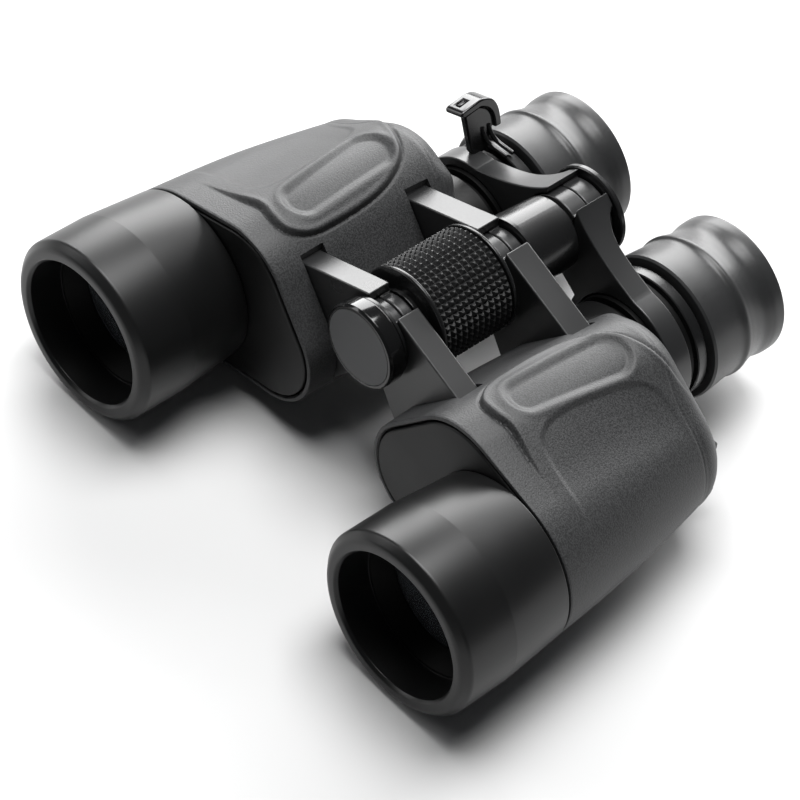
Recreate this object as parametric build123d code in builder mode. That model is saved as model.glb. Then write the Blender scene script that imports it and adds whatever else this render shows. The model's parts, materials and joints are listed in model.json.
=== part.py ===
"""Zoom binoculars with Porro prisms: two barrels on a centre hinge.

Frame: millimetres. +X is the user's left barrel, -X the right one, -Y is where the
objectives look, +Y is the eyepiece end and +Z is up. The origin lies on the surface that the
binoculars stand on, under the middle of their length and width.

Along a barrel every place is a station: its distance behind the objective rim's inner edge.
Pieces that both barrels have are modelled on the +X side and mirrored for the -X side.
"""
from build123d import *
from math import cos, pi, radians, sin
import os

# ---------------------------------------------------------------- driving dimensions
RIM_Y = -78.2               # row Y of station 0
OBJECTIVE_X = 62.9          # objective axis, either side of the middle
EYEPIECE_X = 30.4           # eyepiece axis: 60.8 mm between the eyes
BARREL_Z = 27.2             # height of the objective and eyepiece axes
HINGE_Z = 50.3              # height of the centre hinge's axis
RUN = 0.05                  # radial clearance of a running fit
GAP = 0.3                   # gap between curved faces that don't touch

# Objective tube
TUBE_R = 27.2
RIM_BORE_R = 21.6           # seat of a push-in cap or filter
RIM_BORE_DEPTH = 10.4
RING_SEAT_R = 21.3          # thread of the lens retaining ring
TUBE_END = 37.4             # where the tube's skin meets the housing
TUBE_END_R = 25.35
NECK_R = 20.8               # the part of the tube that enters the housing
LENS_R = 18.5

# Housing section: the hull of three circles, given from the objective axis as
# (x towards the outside, z, radius), at the front and where the rear edge starts to round.
FRONT_CIRCLES = ((0.0, 0.0, 25.2), (-19.0, 10.5, 20.3), (-32.2, -1.0, 17.7))
REAR_CIRCLES = ((-4.8, -0.8, 21.8), (-17.5, 12.8, 18.0), (-31.5, -1.0, 16.5))
HOUSING_FRONT = 38.2
HOUSING_REAR = 106.4
REAR_ROUND = 8.5
SIDE_BULGE = 1.1            # how far the sides swell midway between the two sections
ROUND_START = HOUSING_REAR - REAR_ROUND
HOUSING_MIDDLE = (HOUSING_FRONT + ROUND_START) / 2
ARMOUR_T = 1.5
SHELL_T = 1.5
SHELL_FRONT = 41.2
SHELL_REAR = 96.0
COVER_T = 2.5
COVER_FRONT = 37.9          # front face of the plates round the objective tubes
COVER_GAP = 0.5             # between a plate and the armour's lip
COVER_EDGE_R = 0.5

# Strap loops
LOOP_OUT = 4.0              # from the objective axis, towards the outside
LOOP_DOWN = -9.0            # and below it
LOOP_T = 3.0
LOOP_H = 15.0
LOOP_SLOT = (108.0, 112.6)

# Hinge arms
FRONT_ARM = (48.0, 55.5)
REAR_ARM = (87.5, 95.7)
ARM_END_X = 5.5             # inner end of an arm's top edge
KNUCKLE_R = 9.5
AXLE_R = 5.0

# Focus wheel
WHEEL = (57.3, 84.3)
WHEEL_RIM_R = 15.7
GRIP_RIDGES = 48

# Ocular bridge and eyepieces
BRIDGE_ARM = (113.8, 125.8)
BRIDGE_RING_END = 121.0
BRIDGE_KNUCKLE_R = 10.4
BRIDGE_SHAFT_R = 6.0
OCULAR_RING_R = 20.5
BARREL_R = 15.5
COLLAR_R = 17.5
TURN_RING = (124.5, 127.9)
TURN_RING_R = 19.7
EYECUP = (128.9, 157.4)
EYECUP_RIM_R = 21.15
LEVER_LEAN = 21.5           # degrees that the zoom lever leans outwards at rest

# Prisms
PRISM_HALF = 17.5           # half of the long face, and the prism's height
PRISM_WIDTH = 15.0
PRISM_STEP = 16.25          # each prism shifts the light this far in X and in Z
SHELF = (71.0, 73.2)

# Tripod socket
TRIPOD_R = 3.175            # 1/4 inch thread
SOCKET = (43.0, 53.0)
CAP_THREAD_R = 9.5

EYEPIECE_OUT = EYEPIECE_X - OBJECTIVE_X


# ---------------------------------------------------------------- helpers
def cross_plane(station, x=0.0, z=0.0):
    """Plane across the barrels at a station: local x is X, local y is Z, normal is -Y."""
    return Plane(origin=(x, RIM_Y + station, z), x_dir=(1, 0, 0), z_dir=(0, -1, 0))


def axial_plane(x, z):
    """Plane through an axis along Y: local x is the station, local y is the radius."""
    return Plane(origin=(x, RIM_Y, z), x_dir=(0, 1, 0), z_dir=(1, 0, 0))


def turned(points, x, z):
    """Ring, tube or disc: a closed (station, radius) outline turned about an axis along Y."""
    with BuildPart() as piece:
        with BuildSketch(axial_plane(x, z)):
            with BuildLine():
                Polyline(*points, close=True)
            make_face()
        revolve(axis=Axis((x, 0, z), (0, 1, 0)))
    return piece.part


def ring(start, end, inner, outer, x, z):
    """Plain ring or tube between two stations."""
    return turned([(start, inner), (end, inner), (end, outer), (start, outer)], x, z)


def lens(x, z, radius, front, front_sag, back, back_sag):
    """Lens: front and back are its edge's stations, a positive sag bulges, a negative one dishes."""
    with BuildPart() as piece:
        with BuildSketch(axial_plane(x, z)):
            with BuildLine():
                front_face = TangentArc((front - front_sag, 0), (front, radius), tangent=(0, 1))
                back_face = TangentArc((back + back_sag, 0), (back, radius), tangent=(0, 1))
                Line(front_face @ 1, back_face @ 1)
                Line(front_face @ 0, back_face @ 0)
            make_face()
        revolve(axis=Axis((x, 0, z), (0, 1, 0)))
    return piece.part


def save(piece, name):
    """Label a finished piece and write its STEP."""
    piece.label = name
    export_step(piece, f"parts/{name}.step")


def save_pair(piece, name):
    """Write a +X piece as the left one, and its mirror image as the right one."""
    save(piece, f"left_{name}")
    save_mirrored(piece, f"right_{name}")


def save_mirrored(piece, name):
    """Write the mirror image of a piece modelled on the +X side."""
    with BuildPart() as mirrored:
        mirror(piece, about=Plane.YZ)
    save(mirrored.part, name)


# ---------------------------------------------------------------- housing
def housing_section(station, inset):
    """Circles of the housing's section at a station, drawn in by inset."""
    along = min((station - HOUSING_FRONT) / (ROUND_START - HOUSING_FRONT), 1.0)
    swell = SIDE_BULGE * (1 - abs(2 * along - 1))
    circles = []
    for front, rear in zip(FRONT_CIRCLES, REAR_CIRCLES):
        x, z, radius = [a + (b - a) * along for a, b in zip(front, rear)]
        circles.append((OBJECTIVE_X + x, BARREL_Z + z, radius + swell - inset))
    return circles


def housing_solid(inset, start, end=None):
    """The housing's shape, drawn in by inset, up to end or else to its rounded rear edge."""
    last = ROUND_START if end is None else end
    places = [(start, inset), (last, inset)]
    if start < HOUSING_MIDDLE < last:
        places.insert(1, (HOUSING_MIDDLE, inset))
    if end is None:
        round_r = REAR_ROUND - inset
        for angle in (25, 50, 70, 82):
            station = ROUND_START + round_r * sin(radians(angle))
            places.append((station, inset + round_r * (1 - cos(radians(angle)))))
    with BuildPart() as solid:
        for station, shrink in places:
            with BuildSketch(cross_plane(station)):
                with BuildLine():
                    for x, z, radius in housing_section(station, shrink):
                        CenterArc((x, z), radius, 0, 360)
                make_hull()
        loft(ruled=True)
    return solid.part


def arm_profile(grow=0.0):
    """Outline of a hinge arm's web, from the knuckle to inside the housing, as (x, z)."""
    return [
        (ARM_END_X - grow, HINGE_Z + 11.3 + grow),
        (33.5, HINGE_Z + 0.8 + grow),
        (38.0, HINGE_Z - 12.0),
        (38.0, HINGE_Z - 34.0),
        (22.0, HINGE_Z - 38.0),
        (13.5, HINGE_Z - 29.0 - grow),
        (4.7 - grow, HINGE_Z - 17.4 - grow),
        (2.6 - grow, HINGE_Z - 12.3),
    ]


def arm_webs(grow=0.0):
    """The front and rear arm plates of one barrel, grown for the slots that they pass through."""
    with BuildPart() as webs:
        for start, end in (FRONT_ARM, REAR_ARM):
            with BuildSketch(cross_plane(start - grow)):
                with BuildLine():
                    Polyline(*arm_profile(grow), close=True)
                make_face()
            extrude(amount=-(end - start + 2 * grow))
    return webs.part


def body_shell(own_half):
    """Cast shell with both arms. own_half 0 takes the front half of each knuckle, 1 the rear."""
    with BuildPart() as shell:
        add(housing_solid(ARMOUR_T + 0.1, SHELL_FRONT, SHELL_REAR))
        add(arm_webs())
        add(housing_solid(ARMOUR_T + SHELL_T, SHELL_FRONT, SHELL_REAR), mode=Mode.SUBTRACT)
        for start, end in (FRONT_ARM, REAR_ARM):
            half = (end - start) / 2
            own_start = start + own_half * half + 0.1
            other_start = start + (1 - own_half) * half
            with BuildSketch(cross_plane(other_start - 0.1)):
                with Locations((0, HINGE_Z)):
                    Circle(KNUCKLE_R + 0.4)
            extrude(amount=-(half + 0.2), mode=Mode.SUBTRACT)
            with BuildSketch(cross_plane(own_start)):
                with Locations((0, HINGE_Z)):
                    Circle(KNUCKLE_R)
            extrude(amount=-(half - 0.2))
            with BuildSketch(cross_plane(start - 1)):
                with Locations((0, HINGE_Z)):
                    Circle(AXLE_R + RUN)
            extrude(amount=-(end - start + 2), mode=Mode.SUBTRACT)
    return shell.part


def front_cover():
    """Plate over the shell's front, round the objective tube's neck, with a plug behind it."""
    with BuildPart() as cover:
        add(housing_solid(ARMOUR_T + COVER_GAP, COVER_FRONT, SHELL_FRONT - RUN))
        fillet(cover.faces().sort_by(Axis.Y)[0].edges(), radius=COVER_EDGE_R)
        add(housing_solid(ARMOUR_T + SHELL_T + RUN, SHELL_FRONT - RUN, SHELL_FRONT + COVER_T))
        with BuildSketch(cross_plane(COVER_FRONT - 1)):
            with Locations((OBJECTIVE_X, BARREL_Z)):
                Circle(NECK_R + RUN)
        extrude(amount=-(SHELL_FRONT + COVER_T - COVER_FRONT + 2), mode=Mode.SUBTRACT)
    return cover.part


def rear_cover():
    """Domed rear lid of the shell, with the sleeve that guides the eyepiece barrel."""
    sleeve_end = 110.4
    with BuildPart() as cover:
        add(housing_solid(ARMOUR_T + 0.1, SHELL_REAR + 0.1))
        add(housing_solid(ARMOUR_T + SHELL_T, SHELL_REAR + 0.1), mode=Mode.SUBTRACT)
        with BuildSketch(cross_plane(99.0)):
            with Locations((EYEPIECE_X, BARREL_Z)):
                Circle(BARREL_R + 1.8)
        extrude(amount=-(sleeve_end - 99.0))
        with BuildSketch(cross_plane(90.0)):
            with Locations((EYEPIECE_X, BARREL_Z)):
                Circle(BARREL_R + RUN)
        extrude(amount=-30.0, mode=Mode.SUBTRACT)
    return cover.part


def armour():
    """Rubber skin of the housing: open at the front, with slots for the arms and the sleeve."""
    with BuildPart() as skin:
        add(housing_solid(0.0, HOUSING_FRONT))
        add(housing_solid(ARMOUR_T, HOUSING_FRONT), mode=Mode.SUBTRACT)
        add(arm_webs(GAP), mode=Mode.SUBTRACT)
        with BuildSketch(cross_plane(SHELL_REAR)):
            with Locations((EYEPIECE_X, BARREL_Z)):
                Circle(BARREL_R + 1.8 + GAP)
            with Locations((OBJECTIVE_X + LOOP_OUT, BARREL_Z + LOOP_DOWN)):
                Rectangle(LOOP_T + 2 * GAP, LOOP_H + 2 * GAP)
        extrude(amount=-20.0, mode=Mode.SUBTRACT)
    return skin.part


def strap_loop():
    """Flat loop on the housing's rear end, with the slot that a neck strap passes through."""
    with BuildPart() as loop:
        with BuildSketch(cross_plane(104.8)):
            with Locations((OBJECTIVE_X + LOOP_OUT, BARREL_Z + LOOP_DOWN)):
                Rectangle(LOOP_T, LOOP_H)
        extrude(amount=-(LOOP_SLOT[1] + 2.0 - 104.8))
        fillet(loop.edges().filter_by(Axis.X).sort_by(Axis.Y)[-2:], radius=3.0)
        with BuildSketch(cross_plane(LOOP_SLOT[0])):
            with Locations((OBJECTIVE_X + LOOP_OUT, BARREL_Z + LOOP_DOWN)):
                Rectangle(LOOP_T * 2, LOOP_H - 4.0)
        extrude(amount=-(LOOP_SLOT[1] - LOOP_SLOT[0]), mode=Mode.SUBTRACT)
    return loop.part


# ---------------------------------------------------------------- objective
def objective_tube():
    """Objective barrel: rounded rim, slow taper to the housing, neck and lens seat inside."""
    with BuildPart() as tube:
        with BuildSketch(axial_plane(OBJECTIVE_X, BARREL_Z)):
            with BuildLine():
                ThreePointArc((0, RIM_BORE_R), (-0.75, 22.1), (-1.0, 23.0))
                Line((-1.0, 23.0), (-1.0, 25.0))
                RadiusArc((-1.0, 25.0), (1.1, TUBE_R - 0.1), 2.1)
                Polyline(
                    (1.1, TUBE_R - 0.1), (4.0, TUBE_R), (12.0, TUBE_R - 0.15),
                    (TUBE_END, TUBE_END_R), (TUBE_END, NECK_R), (47.0, NECK_R),
                    (47.0, 19.4), (26.5, 19.4), (26.5, 17.3), (25.0, 17.3),
                    (25.0, LENS_R + 0.1), (16.2, LENS_R + 0.1), (16.2, RING_SEAT_R),
                    (RIM_BORE_DEPTH, RING_SEAT_R), (RIM_BORE_DEPTH, RIM_BORE_R),
                    (0, RIM_BORE_R),
                )
            make_face()
        revolve(axis=Axis((OBJECTIVE_X, 0, BARREL_Z), (0, 1, 0)))
    return tube.part


def retaining_ring():
    """Threaded ring with a coned inside that holds the objective lenses in the tube."""
    return turned(
        [(RIM_BORE_DEPTH + 0.1, 20.7), (RIM_BORE_DEPTH + 0.1, RING_SEAT_R - RUN),
         (16.1, RING_SEAT_R - RUN), (16.1, 17.6)],
        OBJECTIVE_X, BARREL_Z,
    )


# ---------------------------------------------------------------- prisms
def prism_plane(centre_out, slope, station):
    """Plane of a prism's side: local x along its long face, local y along the barrel."""
    along = Vector(cos(radians(slope)), 0, sin(radians(slope)))
    across = Vector(-along.Z, 0, along.X)
    origin = (OBJECTIVE_X + centre_out, RIM_Y + station, BARREL_Z + PRISM_STEP / 2)
    return Plane(origin=origin, x_dir=along, z_dir=across)


def prism(centre_out, slope, station, way):
    """Right-angle glass prism on the shelf; way is -1 towards the objective, 1 to the eye."""
    flat = 1.2
    tip = PRISM_HALF - flat
    with BuildPart() as glass:
        with BuildSketch(prism_plane(centre_out, slope, station)):
            with BuildLine():
                Polyline(
                    (-PRISM_HALF, 0), (PRISM_HALF, 0), (PRISM_HALF, way * flat),
                    (flat, way * tip), (-flat, way * tip), (-PRISM_HALF, way * flat),
                    close=True,
                )
            make_face()
        extrude(amount=PRISM_WIDTH / 2, both=True)
    return glass.part


def prism_clip(centre_out, slope, station, way):
    """Spring strip bent over a prism's ridge, with a foot at each end on the shelf."""
    inner = PRISM_HALF + 1.7
    outer = inner + 0.6
    foot = inner + 3.0
    with BuildPart() as strip:
        with BuildSketch(prism_plane(centre_out, slope, station)):
            with BuildLine():
                Polyline(
                    (-foot, way * 0.1), (-inner, way * 0.1), (0, way * (inner + 0.1)),
                    (inner, way * 0.1), (foot, way * 0.1), (foot, way * 0.7),
                    (inner + 0.25, way * 0.7), (0, way * (outer + 0.35)),
                    (-inner - 0.25, way * 0.7), (-foot, way * 0.7),
                    close=True,
                )
            make_face()
        extrude(amount=2.0, both=True)
    return strip.part


def prism_shelf():
    """Plate across the shell that carries both prisms, with a window for each light path."""
    with BuildPart() as shelf:
        add(housing_solid(ARMOUR_T + SHELL_T + 0.15, SHELF[0], SHELF[1]))
        with BuildSketch(cross_plane(SHELF[0] - 1)):
            for out, up in ((0, 0), (-PRISM_STEP, PRISM_STEP), (EYEPIECE_OUT, 0)):
                with Locations((OBJECTIVE_X + out, BARREL_Z + up)):
                    Circle(7.0)
        extrude(amount=-(SHELF[1] - SHELF[0] + 2), mode=Mode.SUBTRACT)
    return shelf.part


# ---------------------------------------------------------------- hinge and focus wheel
def hinge_axle():
    """Hollow hinge axle: tripod bush in front, the bridge's spindle slides in behind."""
    return turned(
        [(47.0, 4.3), (53.2, 4.3), (53.2, 3.5), (102.5, 3.5), (102.5, AXLE_R), (47.0, AXLE_R)],
        0, HINGE_Z,
    )


def tripod_bush():
    """Flanged bush in the axle's front end, with the tripod thread and the cap's outer thread."""
    start, end = SOCKET
    return turned(
        [(start, TRIPOD_R), (end, TRIPOD_R), (end, 4.28), (46.7, 4.28),
         (46.7, CAP_THREAD_R), (start, CAP_THREAD_R)],
        0, HINGE_Z,
    )


def tripod_cap():
    """Screw-on cup that covers the tripod socket, with a shallow seat for its face plate."""
    return turned(
        [(41.5, 0), (41.5, 11.3), (40.9, 11.3), (40.9, 12.0), (41.3, 12.4), (45.9, 12.6),
         (46.4, 12.2), (46.4, CAP_THREAD_R + RUN), (42.7, CAP_THREAD_R + RUN), (42.7, 0)],
        0, HINGE_Z,
    )


def focus_core():
    """Focus wheel's hub, with a smooth rim at each end of the grip."""
    front, rear = WHEEL
    grip_seat = 13.2
    hub = 9.5
    return turned(
        [(56.0, 7.05), (87.0, 7.05), (87.0, hub), (rear, hub), (rear, 15.2),
         (rear - 0.4, WHEEL_RIM_R), (rear - 1.2, WHEEL_RIM_R), (rear - 1.2, grip_seat),
         (front + 1.2, grip_seat), (front + 1.2, WHEEL_RIM_R), (front + 0.4, WHEEL_RIM_R),
         (front, 15.2), (front, hub), (56.0, hub)],
        0, HINGE_Z,
    )


def focus_grip():
    """Rubber sleeve of the focus wheel, with ridges along it."""
    start = WHEEL[0] + 1.3
    end = WHEEL[1] - 1.3
    step = 2 * pi / GRIP_RIDGES
    points = []
    for ridge in range(GRIP_RIDGES):
        for turn, radius in ((0.0, 15.5), (0.5, 14.7)):
            angle = (ridge + turn) * step
            points.append((radius * cos(angle), radius * sin(angle)))
    with BuildPart() as grip:
        with BuildSketch(cross_plane(start, z=HINGE_Z)):
            with BuildLine():
                Polyline(*points, close=True)
            make_face()
            Circle(13.25, mode=Mode.SUBTRACT)
        extrude(amount=-(end - start))
    return grip.part


# ---------------------------------------------------------------- ocular bridge
def ocular_arm(own_half):
    """Bridge arm: knuckle on the hinge axis, dished top edge, ring round the eyepiece."""
    start, end = BRIDGE_ARM
    half = (end - start) / 2
    own_start = start + own_half * half + 0.1
    other_start = start + (1 - own_half) * half
    with BuildPart() as arm:
        with BuildSketch(cross_plane(start)):
            with BuildLine():
                top = ThreePointArc(
                    (ARM_END_X, HINGE_Z + 11.9),
                    (16.6, HINGE_Z + 4.6),
                    (EYEPIECE_X + 1.0, BARREL_Z + OCULAR_RING_R - 0.05),
                )
                Polyline(
                    top @ 1, (EYEPIECE_X, BARREL_Z), (14.0, HINGE_Z - 19.0),
                    (2.2, HINGE_Z - 11.2), (ARM_END_X, HINGE_Z), top @ 0,
                )
            make_face()
            with Locations((EYEPIECE_X, BARREL_Z)):
                Circle(OCULAR_RING_R)
        extrude(amount=-(end - start))
        with BuildSketch(Plane.XY.offset(-5)):
            with BuildLine():
                step = Line((8.5, RIM_Y + end + 1), (8.5, RIM_Y + end))
                neck = ThreePointArc(
                    step @ 1, (11.2, RIM_Y + 122.6), (17.0, RIM_Y + BRIDGE_RING_END)
                )
                Polyline(neck @ 1, (60, RIM_Y + BRIDGE_RING_END), (60, RIM_Y + end + 1), step @ 0)
            make_face()
        extrude(amount=80, mode=Mode.SUBTRACT)
        with BuildSketch(cross_plane(other_start - 0.1)):
            with Locations((0, HINGE_Z)):
                Circle(BRIDGE_KNUCKLE_R + 0.4)
        extrude(amount=-(half + 0.2), mode=Mode.SUBTRACT)
        with BuildSketch(cross_plane(own_start)):
            with Locations((0, HINGE_Z)):
                Circle(BRIDGE_KNUCKLE_R)
        extrude(amount=-(half - 0.2))
        with BuildSketch(cross_plane(start - 1)):
            with Locations((0, HINGE_Z)):
                Circle(BRIDGE_SHAFT_R + RUN)
            with Locations((EYEPIECE_X, BARREL_Z)):
                Circle(COLLAR_R + RUN)
        extrude(amount=-(end - start + 2), mode=Mode.SUBTRACT)
        with BuildSketch(cross_plane(BRIDGE_RING_END)):
            with Locations((EYEPIECE_X, BARREL_Z)):
                Circle(OCULAR_RING_R)
        extrude(amount=-(end - start), mode=Mode.SUBTRACT)
    return arm.part


def bridge_shaft():
    """Stepped shaft of the bridge: spindle in the axle, telescoping tube, hinge journal."""
    start, end = BRIDGE_ARM
    return turned(
        [(72.0, 0), (72.0, 3.45), (104.0, 3.45), (104.0, 9.0), (start - 0.1, 9.0),
         (start - 0.1, BRIDGE_SHAFT_R), (end + 0.2, BRIDGE_SHAFT_R), (end + 0.2, 0)],
        0, HINGE_Z,
    )


def bridge_disc():
    """Thin dished disc that ends the bridge behind the knuckles."""
    start = BRIDGE_ARM[1] + 0.3
    return turned(
        [(start, 0), (start, 12.9), (start + 0.4, 13.3), (start + 1.5, 13.3),
         (start + 1.5, 12.2), (start + 1.0, 12.0), (start + 1.0, 0)],
        0, HINGE_Z,
    )


def bridge_screw():
    """Slotted screw in the middle of the bridge's end disc."""
    start = BRIDGE_ARM[1] + 1.4
    with BuildPart() as screw:
        add(turned([(start, 0), (start, 4.0), (start + 0.9, 3.6), (start + 0.9, 0)], 0, HINGE_Z))
        with BuildSketch(cross_plane(start + 0.4, z=HINGE_Z)):
            Rectangle(9.0, 0.8)
        extrude(amount=-1.0, mode=Mode.SUBTRACT)
    return screw.part


# ---------------------------------------------------------------- eyepieces
def eyepiece_barrel():
    """Eyepiece tube: slides in the housing's sleeve, with a collar in the bridge arm's ring."""
    return turned(
        [(98.0, BARREL_R), (112.5, BARREL_R), (112.5, COLLAR_R), (121.9, COLLAR_R),
         (121.9, 18.6), (123.6, 18.6), (123.6, COLLAR_R), (129.5, COLLAR_R), (129.5, 16.5),
         (150.5, 16.5), (150.5, 12.2), (146.2, 12.2), (146.2, 11.0), (141.0, 11.0),
         (141.0, 14.0), (98.0, 14.0)],
        EYEPIECE_X, BARREL_Z,
    )


def zoom_cell():
    """Sliding lens cell inside the eyepiece tube."""
    return turned(
        [(106.0, 12.0), (107.0, 12.0), (107.0, 11.0), (108.0, 11.0), (108.0, 12.0),
         (116.0, 12.0), (116.0, 14.0 - RUN), (106.0, 14.0 - RUN)],
        EYEPIECE_X, BARREL_Z,
    )


def eyecup():
    """Rubber eyecup: broad front band, a ridge, a waist and a straight flared rim."""
    start, end = EYECUP
    with BuildPart() as cup:
        with BuildSketch(axial_plane(EYEPIECE_X, BARREL_Z)):
            with BuildLine():
                Polyline((start, COLLAR_R + RUN), (start, 21.5), (start + 0.5, 22.0))
                Spline((start + 0.5, 22.0), (138.0, 21.5), (142.3, 21.85), (146.2, 21.1))
                Spline((146.2, 21.1), (150.0, 20.4), (153.4, EYECUP_RIM_R))
                Polyline(
                    (153.4, EYECUP_RIM_R), (end, EYECUP_RIM_R), (end, 19.4), (151.8, 19.1),
                    (151.2, 14.0), (150.7, 14.0), (150.7, 16.55), (129.6, 16.55),
                    (129.6, COLLAR_R + RUN), (start, COLLAR_R + RUN),
                )
            make_face()
        revolve(axis=Axis((EYEPIECE_X, 0, BARREL_Z), (0, 1, 0)))
    return cup.part


def turn_ring():
    """Smooth ring that turns on the eyepiece, in front of the eyecup."""
    start, end = TURN_RING
    return turned(
        [(start, COLLAR_R + RUN), (end, COLLAR_R + RUN), (end, TURN_RING_R - 0.3),
         (end - 0.3, TURN_RING_R), (start + 0.3, TURN_RING_R), (start, TURN_RING_R - 0.3)],
        EYEPIECE_X, BARREL_Z,
    )


def zoom_lever():
    """Thumb lever of the zoom ring: a blade along the barrel with a flange over its top."""
    lean = radians(LEVER_LEAN)
    side = Vector(cos(lean), 0, -sin(lean))
    blade_plane = Plane(origin=(EYEPIECE_X, RIM_Y, BARREL_Z), x_dir=(0, 1, 0), z_dir=side)
    blade_t = 2.2
    flange_w = 3.7
    lever_foot = TURN_RING_R + 0.02
    with BuildPart() as lever:
        with BuildSketch(blade_plane):
            with BuildLine():
                foot = Polyline(
                    (TURN_RING[1] - 0.2, lever_foot), (124.7, lever_foot), (124.7, 21.2), (116.3, 23.2),
                    (116.3, 34.0), (124.0, 35.4),
                )
                back = ThreePointArc(foot @ 1, (128.3, 33.0), (129.6, 28.0))
                Polyline(back @ 1, (129.6, 24.4), (TURN_RING[1] - 0.2, 23.4), foot @ 0)
            make_face()
        extrude(amount=blade_t / 2, both=True)
        with BuildSketch(blade_plane.offset(-blade_t / 2)):
            with BuildLine():
                top = Line((115.9, 33.2), (115.9, 34.8))
                crest = Line(top @ 1, (124.0, 36.0))
                outer = ThreePointArc(crest @ 1, (129.3, 33.2), (130.8, 27.8))
                drop = Polyline(outer @ 1, (130.8, 23.6), (129.2, 23.6), (129.2, 27.8))
                inner = ThreePointArc(drop @ 1, (128.1, 32.0), (124.0, 34.4))
                Line(inner @ 1, top @ 0)
            make_face()
        extrude(amount=blade_t + flange_w)
    return lever.part


# ---------------------------------------------------------------- the pieces
os.makedirs("parts", exist_ok=True)

save_pair(objective_tube(), "objective_tube")
save_pair(retaining_ring(), "retaining_ring")
save_pair(lens(OBJECTIVE_X, BARREL_Z, LENS_R, 16.6, 1.9, 19.6, 1.4), "crown_lens")
save_pair(lens(OBJECTIVE_X, BARREL_Z, LENS_R, 20.0, -1.35, 24.2, 0.5), "flint_lens")

save(body_shell(0), "left_body_shell")
save_mirrored(body_shell(1), "right_body_shell")
save_pair(front_cover(), "front_cover")
save_pair(rear_cover(), "rear_cover")
save_pair(armour(), "armour")
save_pair(strap_loop(), "strap_loop")

REAR_PRISM = (-PRISM_STEP / 2, 135, SHELF[1] + 0.1, 1)
FRONT_PRISM = (-PRISM_STEP * 1.5, 45, SHELF[0] - 0.1, -1)
save_pair(prism(*REAR_PRISM), "rear_prism")
save_pair(prism(*FRONT_PRISM), "front_prism")
save_pair(prism_clip(*REAR_PRISM), "rear_prism_clip")
save_pair(prism_clip(*FRONT_PRISM), "front_prism_clip")
save_pair(prism_shelf(), "prism_shelf")

save(hinge_axle(), "hinge_axle")
save(tripod_bush(), "tripod_bush")
save(ring(46.8, 47.7, AXLE_R + RUN, 11.8, 0, HINGE_Z), "hinge_washer")
save(
    turned(
        [(96.0, AXLE_R + RUN), (98.0, AXLE_R + RUN), (98.0, 9.2), (112.0, 9.2),
         (112.0, 10.9), (97.0, 11.8), (96.0, 11.8)],
        0, HINGE_Z,
    ),
    "centre_tube",
)
save(tripod_cap(), "tripod_cap")
save(ring(40.9, 41.45, 0.0, 11.2, 0, HINGE_Z), "tripod_cap_plate")
save(focus_core(), "focus_wheel_core")
save(focus_grip(), "focus_wheel_grip")
save(ring(60.0, 68.0, AXLE_R + RUN, 7.0, 0, HINGE_Z), "focus_nut")

save(ocular_arm(0), "left_ocular_arm")
save_mirrored(ocular_arm(1), "right_ocular_arm")
save(bridge_shaft(), "bridge_shaft")
save(bridge_disc(), "bridge_disc")
save(bridge_screw(), "bridge_screw")

save_pair(eyepiece_barrel(), "eyepiece_barrel")
save_pair(zoom_cell(), "zoom_cell")
save_pair(lens(EYEPIECE_X, BARREL_Z, 11.9, 109.6, 1.0, 113.0, 1.0), "zoom_lens")
save_pair(lens(EYEPIECE_X, BARREL_Z, 12.0, 147.0, 0.6, 149.0, 0.8), "eye_lens")
save_pair(eyecup(), "eyecup")
save(turn_ring(), "dioptre_ring")
save_mirrored(turn_ring(), "zoom_ring")
save_mirrored(zoom_lever(), "zoom_lever")
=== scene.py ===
"""Looks of the zoom binoculars: detailed rubber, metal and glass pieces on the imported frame.

Frame as packed: metres, +X the user's left barrel, -Y where the objectives look, +Z up.
Places along a barrel are stations: millimetres behind the objective rim's inner edge.
"""

import json
from math import asin, atan2, cos, degrees, hypot, pi, radians, sin, sqrt, tan

import bmesh
import bpy
import numpy as np
from mathutils import Matrix, Vector


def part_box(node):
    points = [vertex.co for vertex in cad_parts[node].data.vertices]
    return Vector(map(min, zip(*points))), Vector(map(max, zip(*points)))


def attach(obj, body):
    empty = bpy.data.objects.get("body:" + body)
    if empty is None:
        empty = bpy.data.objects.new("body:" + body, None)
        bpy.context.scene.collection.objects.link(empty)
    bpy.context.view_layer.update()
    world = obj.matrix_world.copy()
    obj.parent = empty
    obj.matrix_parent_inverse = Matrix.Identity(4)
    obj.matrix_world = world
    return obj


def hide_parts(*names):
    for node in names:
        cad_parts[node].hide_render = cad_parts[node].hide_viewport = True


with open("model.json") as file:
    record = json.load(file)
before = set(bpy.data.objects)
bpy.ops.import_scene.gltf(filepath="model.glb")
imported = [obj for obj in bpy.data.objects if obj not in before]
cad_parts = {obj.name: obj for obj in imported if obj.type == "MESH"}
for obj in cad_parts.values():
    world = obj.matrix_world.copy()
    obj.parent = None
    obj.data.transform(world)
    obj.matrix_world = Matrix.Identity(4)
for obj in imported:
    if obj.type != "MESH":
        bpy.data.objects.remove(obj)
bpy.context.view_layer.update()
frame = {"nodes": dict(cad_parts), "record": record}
NODES = frame["nodes"]

# ---------------------------------------------------------------- places, in millimetres
MM = 0.001


def centre(node, axis):
    """Middle of a CAD node's box along one axis, in millimetres."""
    low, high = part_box(node)
    return (low[axis] + high[axis]) / 2 / MM


OBJECTIVE_X = centre("left_objective_tube", 0)
BARREL_Z = centre("left_objective_tube", 2)
EYEPIECE_X = centre("left_eyecup", 0)
HINGE_Z = centre("hinge_washer", 2)
RIM_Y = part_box("left_objective_tube")[0].y / MM + 1.0
SIDES = (("left", 1), ("right", -1))

# ---------------------------------------------------------------- camera
VIEW_AZIMUTH = radians(40.13)
VIEW_ELEVATION = radians(47.97)
VIEW_ROLL = radians(9.79)
VIEW_DISTANCE = 1.0315
VIEW_TARGET = Vector((0.00104, -0.0182, 0.01729))
LENS = 170.63


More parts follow.
